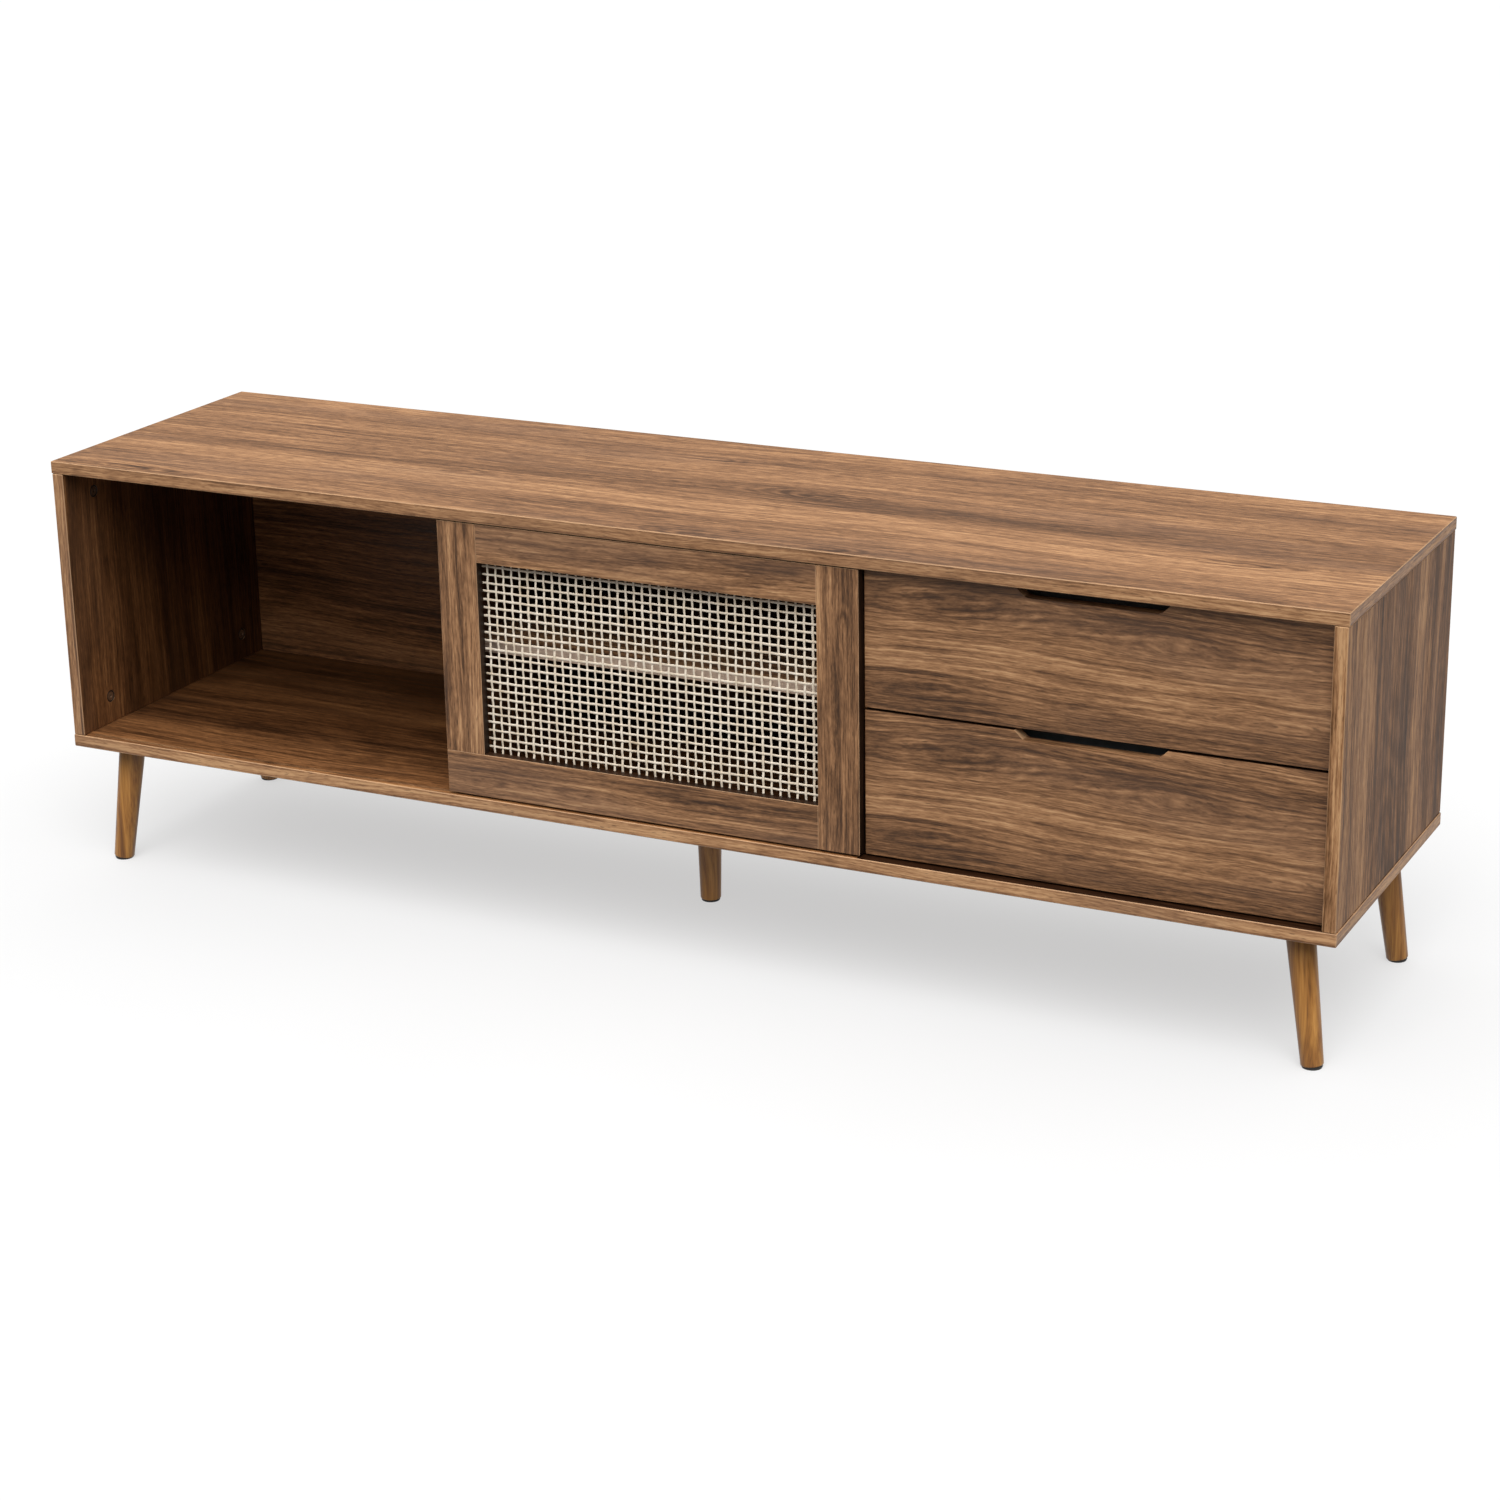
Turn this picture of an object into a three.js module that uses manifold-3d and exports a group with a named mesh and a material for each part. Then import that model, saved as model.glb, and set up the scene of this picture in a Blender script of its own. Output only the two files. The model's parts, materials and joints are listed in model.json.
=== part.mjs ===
// Media cabinet on splayed legs: an open bay, a bay behind a sliding cane door, and two drawers.
//
// Millimetres, +Z up. The origin is on the floor, under the centre of the cabinet. The front faces -Y,
// and +X is to the right of somebody who stands in front of it.
import * as THREE from 'three';
import { mergeVertices } from 'three/addons/utils/BufferGeometryUtils.js';
import Module from 'manifold-3d';

const wasm = await Module();
wasm.setup();

// ---------------------------------------------------------------- driving dimensions
const WIDTH = 1600;               // over the top panel
const DEPTH = 400;                // front edge to rear edge
const BOX_HEIGHT = 360;           // carcase without its legs
const LEG_HEIGHT = 155;           // floor to the underside of the carcase
const BOARD = 15;                 // thickness of every carcase board, door member and drawer front
const EASE = 0.8;                 // eased arris on every board
const GAP = 0.3;                  // assembly gap between pieces that rest on each other

const SIDE_INSET = 1;             // side panels stand this far inside the ends of the top panel
const BACK_THICKNESS = 8;
const BACK_INSET = 6;             // rear edge of the carcase to the back panel

const DIVIDER_X = 260;            // cabinet centre to the centre plane of each divider

const DOOR_LEFT = -263;
const DOOR_RIGHT = 261;
const DOOR_SETBACK = 2;           // front edge of the carcase to the door's face
const DOOR_GAP_BOTTOM = 3;
const DOOR_GAP_TOP = 1.5;
const STILE = 50;                 // visible widths of the door frame
const RAIL_TOP = 45;
const RAIL_BOTTOM = 51;
const CANE_DEPTH = 12;            // door face to the front of the cane
const CANE_THICKNESS = 2.6;
const REBATE = 8;                 // how far the cane reaches behind the frame on each side

const GROOVE_WIDTH = 5;           // guide grooves in the top and bottom panels
const GROOVE_DEPTH = 6;
const GROOVE_LEFT = -775;
const GROOVE_RIGHT = 253;
const GUIDE_WIDTH = 4;
const GUIDE_LENGTH = 30;
const GUIDE_INSET = 20;           // door edge to guide

const SHELF_FRONT = 60;           // front edge of the carcase to the shelf
const SHELF_LEVEL = 173;          // carcase underside to shelf underside
const PIN_RADIUS = 2.5;
const PIN_LENGTH = 16;
const PIN_FROM_SHELF_END = 45;

const CAM_RADIUS = 7.5;
const CAM_DEPTH = 12;
const CAM_FROM_EDGE = 58;         // front or rear edge to cam centre
const CAM_FROM_PANEL = 34;        // adjoining top or bottom panel to cam centre

const CABLE_HOLE_RADIUS = 30;
const CABLE_HOLE_X = 170;
const CABLE_HOLE_LEVEL = 60;      // carcase underside to hole centre

const DRAWER_SETBACK = 12;        // front edge of the carcase to the drawer fronts
const DRAWER_LEFT = 264;
const DRAWER_SIDE_GAP = 2;
const DRAWER_GAP = 3;             // between the two fronts, and under the lower one
const DRAWER_GAP_TOP = 2.5;
const DRAWER_SPLIT = 186;         // carcase underside to the middle of the gap between the fronts
const DRAWER_BOARD = 12;
const DRAWER_SIDE_LENGTH = 333;
const DRAWER_BOX_BELOW = 12;      // front's lower edge to the drawer sides
const DRAWER_BOX_ABOVE = 34;      // front's upper edge to the drawer sides
const DRAWER_BOTTOM = 5;
const DRAWER_BOTTOM_RISE = 9;
const DRAWER_BOTTOM_TONGUE = 4.5; // how far the bottom reaches into each side's groove

const NOTCH_TOP = 172;            // finger notch in the upper edge of each front
const NOTCH_BOTTOM = 150;
const NOTCH_DEPTH = 11;
const NOTCH_CORNER = 5;
const LINER_WIDTH = 196;          // dark pocket behind the notch
const LINER_DEPTH = 26;
const LINER_HEIGHT = 27;
const LINER_WALL = 1.6;

const SLIDE_SPACE = 13;           // bay wall to drawer side
const SLIDE_LENGTH = 350;
const SLIDE_HEIGHT = 35;
const SLIDE_RISE = 40;            // drawer side's lower edge to slide centre

const FOOT_X = 769;               // centres of the corner feet on the floor
const FOOT_Y = 161;
const SPLAY_X = 22;               // how far each corner leg leans inward over its height
const SPLAY_Y = 8;
const MIDDLE_LEG_X = -31;
const MIDDLE_LEG_Y = 9;
const LEG_TOP_RADIUS = 16;
const LEG_FOOT_RADIUS = 12.4;
const GLIDE_RADIUS = 11.2;
const GLIDE_HEIGHT = 2.2;
const PLATE_SIZE = 62;
const PLATE_THICKNESS = 2.5;
const BOSS_RADIUS = 17.5;
const BOSS_LENGTH = 8;            // from the carcase underside, along the leg

// ---------------------------------------------------------------- derived levels and faces
const FRONT = -DEPTH / 2;
const REAR = DEPTH / 2;
const UNDERSIDE = LEG_HEIGHT;
const FLOOR = UNDERSIDE + BOARD;                    // upper face of the bottom panel
const CEILING = UNDERSIDE + BOX_HEIGHT - BOARD;     // lower face of the top panel
const SIDE_OUTER = WIDTH / 2 - SIDE_INSET;
const SIDE_INNER = SIDE_OUTER - BOARD;
const BACK_REAR = REAR - BACK_INSET;
const BACK_FRONT = BACK_REAR - BACK_THICKNESS;
const DOOR_FRONT = FRONT + DOOR_SETBACK;
const DOOR_REAR = DOOR_FRONT + BOARD;
const DOOR_BOTTOM = FLOOR + DOOR_GAP_BOTTOM;
const DOOR_TOP = CEILING - DOOR_GAP_TOP;
const GROOVE_Y = DOOR_FRONT + BOARD / 2;
const CANE_FRONT = DOOR_FRONT + CANE_DEPTH;
const DRAWER_FRONT = FRONT + DRAWER_SETBACK;
const DRAWER_REAR = DRAWER_FRONT + BOARD;
const DRAWER_RIGHT = SIDE_INNER - DRAWER_SIDE_GAP;
const BAY_LEFT = DIVIDER_X + BOARD / 2;             // drawer bay, between its two walls
const BAY_RIGHT = SIDE_INNER;

// ---------------------------------------------------------------- materials
function finish(color, roughness, metalness = 0) {
  return new THREE.MeshStandardMaterial({ color, roughness, metalness });
}

const WALNUT_TOP = finish(0xa5754d, 0.5);
const WALNUT_UPRIGHT = finish(0x7d5a41, 0.5);
const WALNUT_FRONT = finish(0x855d41, 0.5);
const WALNUT_INSIDE = finish(0x5a3f2c, 0.6);
const DRAWER_BOX = finish(0x6e4f39, 0.6);
const LEG_WOOD = finish(0x9a6a35, 0.4);
const CANE = finish(0xd9ccb2, 0.8);
const BLACK_PLASTIC = finish(0x1d1b1a, 0.6);
const SLATE_PLASTIC = finish(0x20282c, 0.5);
const STEEL = finish(0xa9abad, 0.35, 0.9);

// ---------------------------------------------------------------- solid helpers
const cabinet = new THREE.Group();

function add(name, geometry, material) {
  const mesh = new THREE.Mesh(geometry, material);
  mesh.name = name;
  cabinet.add(mesh);
}

// A plain block between two corners.
function block(low, high) {
  const size = high.map((value, axis) => value - low[axis]);
  const middle = high.map((value, axis) => (value + low[axis]) / 2);
  return new THREE.BoxGeometry(...size).translate(...middle);
}

// A board between two corners with all of its arrises eased.
function board(low, high, ease = EASE) {
  const [x0, y0, z0] = low;
  const [x1, y1, z1] = high;
  const outline = new THREE.Shape([
    new THREE.Vector2(x0 + ease, y0), new THREE.Vector2(x1 - ease, y0),
    new THREE.Vector2(x1, y0 + ease), new THREE.Vector2(x1, y1 - ease),
    new THREE.Vector2(x1 - ease, y1), new THREE.Vector2(x0 + ease, y1),
    new THREE.Vector2(x0, y1 - ease), new THREE.Vector2(x0, y0 + ease),
  ]);
  const geometry = new THREE.ExtrudeGeometry(outline, {
    depth: z1 - z0 - 2 * ease, bevelEnabled: true, bevelSegments: 1,
    bevelThickness: ease, bevelSize: ease, bevelOffset: -ease,
  });
  return geometry.translate(0, 0, z0 + ease);
}

// A cylinder that runs along +Z, its lower end at the origin.
function rod(radius, length, segments = 24) {
  return new THREE.CylinderGeometry(radius, radius, length, segments)
    .rotateX(Math.PI / 2).translate(0, 0, length / 2);
}

// An XZ outline drawn back along Y, from y0 to y1.
function alongY(shape, y0, y1) {
  return new THREE.ExtrudeGeometry(shape, { depth: y1 - y0, bevelEnabled: false, curveSegments: 6 })
    .rotateX(Math.PI / 2).translate(0, y1, 0);
}

function outlineXZ(points) {
  return new THREE.Shape(points.map(([x, z]) => new THREE.Vector2(x, z)));
}

function solidOf(geometry) {
  const bare = new THREE.BufferGeometry();
  bare.setAttribute('position', geometry.getAttribute('position'));
  if (geometry.index) bare.setIndex(geometry.index);
  const merged = mergeVertices(bare, 1e-4);
  return new wasm.Manifold(new wasm.Mesh({
    numProp: 3,
    vertProperties: new Float32Array(merged.getAttribute('position').array),
    triVerts: new Uint32Array(merged.index.array),
  }));
}

function geometryOf(solid) {
  const mesh = solid.getMesh();
  const geometry = new THREE.BufferGeometry();
  geometry.setAttribute('position', new THREE.BufferAttribute(new Float32Array(mesh.vertProperties), 3));
  geometry.setIndex(new THREE.BufferAttribute(new Uint32Array(mesh.triVerts), 1));
  geometry.computeVertexNormals();
  return geometry;
}

function cut(geometry, ...tools) {
  return geometryOf(tools.reduce((solid, tool) => solid.subtract(solidOf(tool)), solidOf(geometry)));
}

// ---------------------------------------------------------------- carcase
function grooveTool(z0, z1) {
  return block([GROOVE_LEFT, GROOVE_Y - GROOVE_WIDTH / 2, z0], [GROOVE_RIGHT, GROOVE_Y + GROOVE_WIDTH / 2, z1]);
}

function addTopAndBottom() {
  const x = WIDTH / 2;
  const top = board([-x, FRONT, CEILING], [x, REAR, CEILING + BOARD]);
  add('top_panel', cut(top, grooveTool(CEILING - 1, CEILING + GROOVE_DEPTH)), WALNUT_TOP);
  const bottom = board([-x, FRONT, UNDERSIDE], [x, REAR, FLOOR]);
  add('bottom_panel', cut(bottom, grooveTool(FLOOR - GROOVE_DEPTH, FLOOR + 1)), WALNUT_TOP);
}

const CAM_PLACES = [];
for (const [end, y] of [['front', FRONT + CAM_FROM_EDGE], ['rear', REAR - CAM_FROM_EDGE]]) {
  for (const [level, z] of [['lower', FLOOR + CAM_FROM_PANEL], ['upper', CEILING - CAM_FROM_PANEL]]) {
    CAM_PLACES.push({ name: `cam_lock_${level}_${end}`, y, z });
  }
}

// A rod along +X with its left end at x.
function rodAlongX(radius, length, x, y, z, segments) {
  return rod(radius, length, segments).rotateY(Math.PI / 2).translate(x, y, z);
}

function addSides() {
  const low = [SIDE_INNER, FRONT, FLOOR + GAP];
  const high = [SIDE_OUTER, REAR, CEILING - GAP];
  add('right_side_panel', board(low, high), WALNUT_UPRIGHT);

  const pockets = CAM_PLACES.map(({ y, z }) => (
    rodAlongX(CAM_RADIUS + GAP, CAM_DEPTH + 2, -SIDE_INNER - CAM_DEPTH - GAP, y, z)));
  const left = board([-SIDE_OUTER, FRONT, low[2]], [-SIDE_INNER, REAR, high[2]]);
  add('left_side_panel', cut(left, ...pockets), WALNUT_UPRIGHT);
  for (const { name, y, z } of CAM_PLACES) {
    add(name, rodAlongX(CAM_RADIUS, CAM_DEPTH, -SIDE_INNER - CAM_DEPTH, y, z), STEEL);
  }
}

const SHELF_BOTTOM = UNDERSIDE + SHELF_LEVEL;
const SHELF_Y = [FRONT + SHELF_FRONT, BACK_FRONT - GAP];
const PIN_Z = SHELF_BOTTOM - GAP - PIN_RADIUS;
const PIN_ROWS = [
  ['front', SHELF_Y[0] + PIN_FROM_SHELF_END],
  ['rear', SHELF_Y[1] - PIN_FROM_SHELF_END],
];

// Each pin sits half in a blind hole in its divider and half under the shelf.
function addDividersAndShelf() {
  const leftFace = -DIVIDER_X + BOARD / 2;
  const rightFace = DIVIDER_X - BOARD / 2;
  const hole = (x, y) => rodAlongX(PIN_RADIUS + GAP, PIN_LENGTH, x, y, PIN_Z, 12);
  const leftHoles = PIN_ROWS.map(([, y]) => hole(leftFace - PIN_LENGTH / 2 - 1, y));
  const rightHoles = PIN_ROWS.map(([, y]) => hole(rightFace - PIN_LENGTH / 2 + 1, y));
  const bottom = FLOOR + GAP;
  const top = CEILING - GAP;
  const rear = BACK_FRONT - GAP;
  const left = board([leftFace - BOARD, DOOR_REAR + 2, bottom], [leftFace, rear, top]);
  const right = board([rightFace, DRAWER_REAR + 1, bottom], [rightFace + BOARD, rear, top]);
  add('left_divider', cut(left, ...leftHoles), WALNUT_UPRIGHT);
  add('right_divider', cut(right, ...rightHoles), WALNUT_UPRIGHT);
  for (const [row, y] of PIN_ROWS) {
    add(`shelf_pin_left_${row}`, rodAlongX(PIN_RADIUS, PIN_LENGTH, leftFace - PIN_LENGTH / 2, y, PIN_Z, 12), STEEL);
    add(`shelf_pin_right_${row}`, rodAlongX(PIN_RADIUS, PIN_LENGTH, rightFace - PIN_LENGTH / 2, y, PIN_Z, 12), STEEL);
  }
  const shelf = board([leftFace + GAP, SHELF_Y[0], SHELF_BOTTOM], [rightFace - GAP, SHELF_Y[1], SHELF_BOTTOM + BOARD]);
  add('shelf', shelf, WALNUT_INSIDE);
}

function addBack() {
  const x = SIDE_INNER - GAP;
  const outline = outlineXZ([
    [-x, FLOOR + GAP], [x, FLOOR + GAP], [x, CEILING - GAP], [-x, CEILING - GAP],
  ]);
  const hole = new THREE.Path();
  hole.absarc(CABLE_HOLE_X, UNDERSIDE + CABLE_HOLE_LEVEL, CABLE_HOLE_RADIUS, 0, 2 * Math.PI, true);
  outline.holes.push(hole);
  const panel = new THREE.ExtrudeGeometry(outline, { depth: BACK_THICKNESS, bevelEnabled: false, curveSegments: 16 });
  add('back_panel', panel.rotateX(Math.PI / 2).translate(0, BACK_REAR, 0), WALNUT_INSIDE);
}

// ---------------------------------------------------------------- legs
// Turns a solid that stands on the origin along +Z into the line of a leg whose foot is at (x, y).
function alongLeg(geometry, foot) {
  const up = new THREE.Vector3(foot.leanX, foot.leanY, LEG_HEIGHT).normalize();
  const turn = new THREE.Quaternion().setFromUnitVectors(new THREE.Vector3(0, 0, 1), up);
  const place = new THREE.Matrix4().compose(new THREE.Vector3(foot.x, foot.y, 0), turn, new THREE.Vector3(1, 1, 1));
  return geometry.applyMatrix4(place);
}

function legGeometry(length) {
  const profile = [
    [0, 0], [LEG_FOOT_RADIUS - 1.2, 0], [LEG_FOOT_RADIUS - 0.3, 0.5], [LEG_FOOT_RADIUS, 1.6],
    [LEG_TOP_RADIUS, length - 1], [LEG_TOP_RADIUS - 0.8, length], [0, length],
  ];
  const points = profile.map(([radius, z]) => new THREE.Vector2(radius, z));
  return new THREE.LatheGeometry(points, 32).rotateX(Math.PI / 2);
}

function glideGeometry() {
  const profile = [
    [0, -2], [GLIDE_RADIUS - 1.5, -2], [GLIDE_RADIUS, 0.6], [GLIDE_RADIUS, GLIDE_HEIGHT], [0, GLIDE_HEIGHT],
  ];
  const points = profile.map(([radius, z]) => new THREE.Vector2(radius, z));
  return new THREE.LatheGeometry(points, 32).rotateX(Math.PI / 2);
}

function addLeg(name, foot) {
  const axisLength = Math.hypot(foot.leanX, foot.leanY, LEG_HEIGHT);
  const bossStart = axisLength - BOSS_LENGTH;
  const legStart = GLIDE_HEIGHT + GAP;
  const leg = legGeometry(bossStart - GAP - legStart).translate(0, 0, legStart);
  add(`leg_${name}`, alongLeg(leg, foot), LEG_WOOD);

  const aboveFloor = block([foot.x - 50, foot.y - 50, 0], [foot.x + 50, foot.y + 50, 50]);
  const glide = solidOf(alongLeg(glideGeometry(), foot)).intersect(solidOf(aboveFloor));
  add(`glide_${name}`, geometryOf(glide), BLACK_PLASTIC);

  const topX = foot.x + foot.leanX;
  const topY = foot.y + foot.leanY;
  const half = PLATE_SIZE / 2;
  const plateTop = UNDERSIDE - GAP;
  const plateBottom = plateTop - PLATE_THICKNESS;
  const plate = board([topX - half, topY - half, plateBottom], [topX + half, topY + half, plateTop], 0.6);
  const boss = alongLeg(rod(BOSS_RADIUS, 2 * BOSS_LENGTH, 32).translate(0, 0, bossStart), foot);
  const belowPlate = block([topX - half, topY - half, 0], [topX + half, topY + half, plateBottom + 1]);
  const plateSolid = solidOf(plate).add(solidOf(boss).intersect(solidOf(belowPlate)));
  add(`leg_plate_${name}`, geometryOf(plateSolid), STEEL);
}

function addLegs() {
  for (const [sideName, side] of [['left', -1], ['right', 1]]) {
    for (const [endName, end] of [['front', -1], ['rear', 1]]) {
      addLeg(`${endName}_${sideName}`, {
        x: side * FOOT_X, y: end * FOOT_Y, leanX: -side * SPLAY_X, leanY: -end * SPLAY_Y,
      });
    }
  }
  addLeg('middle', { x: MIDDLE_LEG_X, y: MIDDLE_LEG_Y, leanX: 0, leanY: 0 });
}

// ---------------------------------------------------------------- sliding door
function addDoor() {
  const openLeft = DOOR_LEFT + STILE;
  const openRight = DOOR_RIGHT - STILE;
  const openBottom = DOOR_BOTTOM + RAIL_BOTTOM;
  const openTop = DOOR_TOP - RAIL_TOP;
  const rebate = block(
    [openLeft - REBATE, CANE_FRONT, openBottom - REBATE],
    [openRight + REBATE, DOOR_REAR + 1, openTop + REBATE],
  );
  const member = (name, x0, x1, z0, z1) => {
    add(name, cut(board([x0, DOOR_FRONT, z0], [x1, DOOR_REAR, z1], 0.5), rebate), WALNUT_FRONT);
  };
  const joint = 0.1;                                   // glue line between members
  member('door_stile_right', openRight, DOOR_RIGHT, DOOR_BOTTOM, DOOR_TOP);
  member('door_stile_left', DOOR_LEFT, openLeft, openBottom + joint, DOOR_TOP);
  member('door_rail_top', openLeft + joint, openRight - joint, openTop, DOOR_TOP);
  member('door_rail_bottom', DOOR_LEFT, openRight - joint, DOOR_BOTTOM, openBottom);

  const inset = REBATE - 0.5;
  add('cane_panel', block(
    [openLeft - inset, CANE_FRONT + GAP, openBottom - inset],
    [openRight + inset, CANE_FRONT + GAP + CANE_THICKNESS, openTop + inset],
  ), CANE);

  const guides = [['left', DOOR_LEFT + GUIDE_INSET], ['right', DOOR_RIGHT - GUIDE_INSET - GUIDE_LENGTH]];
  for (const [side, x] of guides) {
    const y0 = GROOVE_Y - GUIDE_WIDTH / 2;
    const y1 = GROOVE_Y + GUIDE_WIDTH / 2;
    add(`door_glide_${side}`, board(
      [x, y0, FLOOR - GROOVE_DEPTH + GAP], [x + GUIDE_LENGTH, y1, DOOR_BOTTOM - 0.1], 0.5), BLACK_PLASTIC);
    add(`door_top_guide_${side}`, board(
      [x, y0, DOOR_TOP + 0.1], [x + GUIDE_LENGTH, y1, CEILING + GROOVE_DEPTH - 1], 0.5), BLACK_PLASTIC);
  }
}

// ---------------------------------------------------------------- drawers
// The front's outline, with a trapezoid finger notch with rounded corners in its upper edge.
function drawerFrontShape(z0, z1) {
  const middle = (DRAWER_LEFT + DRAWER_RIGHT) / 2;
  const floor = z1 - NOTCH_DEPTH;
  const shape = outlineXZ([[DRAWER_LEFT, z0], [DRAWER_RIGHT, z0], [DRAWER_RIGHT, z1]]);
  const rise = NOTCH_CORNER * Math.SQRT1_2;            // where each rounded corner meets its slope
  shape.lineTo(middle + NOTCH_TOP / 2, z1);
  shape.lineTo(middle + NOTCH_BOTTOM / 2 + rise, floor + rise);
  shape.quadraticCurveTo(middle + NOTCH_BOTTOM / 2, floor, middle + NOTCH_BOTTOM / 2 - NOTCH_CORNER, floor);
  shape.lineTo(middle - NOTCH_BOTTOM / 2 + NOTCH_CORNER, floor);
  shape.quadraticCurveTo(middle - NOTCH_BOTTOM / 2, floor, middle - NOTCH_BOTTOM / 2 - rise, floor + rise);
  shape.lineTo(middle - NOTCH_TOP / 2, z1);
  shape.lineTo(DRAWER_LEFT, z1);
  return shape;
}

// A steel channel against the bay wall, open towards the drawer. side is +1 where the drawer is at +X.
function cabinetSlide(wallX, side, z) {
  const h = SLIDE_HEIGHT / 2;
  const profile = [
    [0, -h], [10, -h], [10, -h + 6], [8.5, -h + 6], [8.5, -h + 1.5], [1.5, -h + 1.5],
    [1.5, h - 1.5], [8.5, h - 1.5], [8.5, h - 6], [10, h - 6], [10, h], [0, h],
  ].map(([x, dz]) => [wallX + side * (x + GAP / 2), z + dz]);
  return alongY(outlineXZ(side > 0 ? profile : profile.reverse()), DRAWER_REAR + 4, DRAWER_REAR + 4 + SLIDE_LENGTH);
}

// A steel runner on the drawer side: a stem that carries a flat bar inside the channel.
function drawerSlide(wallX, side, z) {
  const bar = SLIDE_HEIGHT / 2 - 3.5;
  const profile = [
    [5, -bar], [8, -bar], [8, -8], [SLIDE_SPACE - GAP, -8], [SLIDE_SPACE - GAP, 8], [8, 8], [8, bar], [5, bar],
  ].map(([x, dz]) => [wallX + side * x, z + dz]);
  return alongY(outlineXZ(side > 0 ? profile : profile.reverse()), DRAWER_REAR + 4, DRAWER_REAR + DRAWER_SIDE_LENGTH);
}

// A drawer side, with a groove for the bottom in its inner face.
function drawerSide(outerX, side, z0, z1) {
  const grooveLow = z0 + DRAWER_BOTTOM_RISE - GAP;
  const grooveHigh = grooveLow + DRAWER_BOTTOM + 2 * GAP;
  const inner = DRAWER_BOARD;
  const groove = DRAWER_BOARD - DRAWER_BOTTOM_TONGUE - GAP;
  const profile = [
    [0, z0], [inner, z0], [inner, grooveLow], [groove, grooveLow], [groove, grooveHigh],
    [inner, grooveHigh], [inner, z1], [0, z1],
  ].map(([x, z]) => [outerX + side * x, z]);
  return alongY(outlineXZ(side > 0 ? profile : profile.reverse()), DRAWER_REAR + GAP, DRAWER_REAR + DRAWER_SIDE_LENGTH);
}

function linerGeometry(z1) {
  const middle = (DRAWER_LEFT + DRAWER_RIGHT) / 2;
  const y0 = DRAWER_REAR + GAP;
  const shell = block(
    [middle - LINER_WIDTH / 2, y0, z1 - LINER_HEIGHT], [middle + LINER_WIDTH / 2, y0 + LINER_DEPTH, z1 - 1]);
  const hollow = block(
    [middle - LINER_WIDTH / 2 + LINER_WALL, y0 - 1, z1 - LINER_HEIGHT + LINER_WALL],
    [middle + LINER_WIDTH / 2 - LINER_WALL, y0 + LINER_DEPTH - LINER_WALL, z1],
  );
  return cut(shell, hollow);
}

function addDrawer(name, z0, z1) {
  add(`${name}_front`, alongY(drawerFrontShape(z0, z1), DRAWER_FRONT, DRAWER_REAR), WALNUT_FRONT);
  add(`${name}_pull_liner`, linerGeometry(z1), SLATE_PLASTIC);

  const boxLow = z0 + DRAWER_BOX_BELOW;
  const boxHigh = z1 - DRAWER_BOX_ABOVE;
  const outerLeft = BAY_LEFT + SLIDE_SPACE;
  const outerRight = BAY_RIGHT - SLIDE_SPACE;
  const rear = DRAWER_REAR + DRAWER_SIDE_LENGTH;
  add(`${name}_side_left`, drawerSide(outerLeft, 1, boxLow, boxHigh), DRAWER_BOX);
  add(`${name}_side_right`, drawerSide(outerRight, -1, boxLow, boxHigh), DRAWER_BOX);
  const innerLeft = outerLeft + DRAWER_BOARD;
  const innerRight = outerRight - DRAWER_BOARD;
  const bottomLow = boxLow + DRAWER_BOTTOM_RISE;
  add(`${name}_bottom`, block(
    [innerLeft - DRAWER_BOTTOM_TONGUE, DRAWER_REAR + GAP, bottomLow],
    [innerRight + DRAWER_BOTTOM_TONGUE, rear, bottomLow + DRAWER_BOTTOM],
  ), DRAWER_BOX);
  add(`${name}_back`, block(
    [innerLeft + 0.1, rear - DRAWER_BOARD, bottomLow + DRAWER_BOTTOM + GAP],
    [innerRight - 0.1, rear, boxHigh],
  ), DRAWER_BOX);

  const slideZ = boxLow + SLIDE_RISE;
  add(`${name}_cabinet_slide_left`, cabinetSlide(BAY_LEFT, 1, slideZ), STEEL);
  add(`${name}_cabinet_slide_right`, cabinetSlide(BAY_RIGHT, -1, slideZ), STEEL);
  add(`${name}_runner_left`, drawerSlide(BAY_LEFT, 1, slideZ), STEEL);
  add(`${name}_runner_right`, drawerSlide(BAY_RIGHT, -1, slideZ), STEEL);
}

function addDrawers() {
  const split = UNDERSIDE + DRAWER_SPLIT;
  addDrawer('lower_drawer', FLOOR + DRAWER_GAP, split - DRAWER_GAP / 2);
  addDrawer('upper_drawer', split + DRAWER_GAP / 2, CEILING - DRAWER_GAP_TOP);
}

addTopAndBottom();
addSides();
addDividersAndShelf();
addBack();
addLegs();
addDoor();
addDrawers();

export default cabinet;
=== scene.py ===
"""The looks of the media cabinet: walnut laminate, woven cane, turned legs and small hardware."""

import json
import math
import random

import bpy
import bmesh
from mathutils import Matrix, Vector


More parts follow.
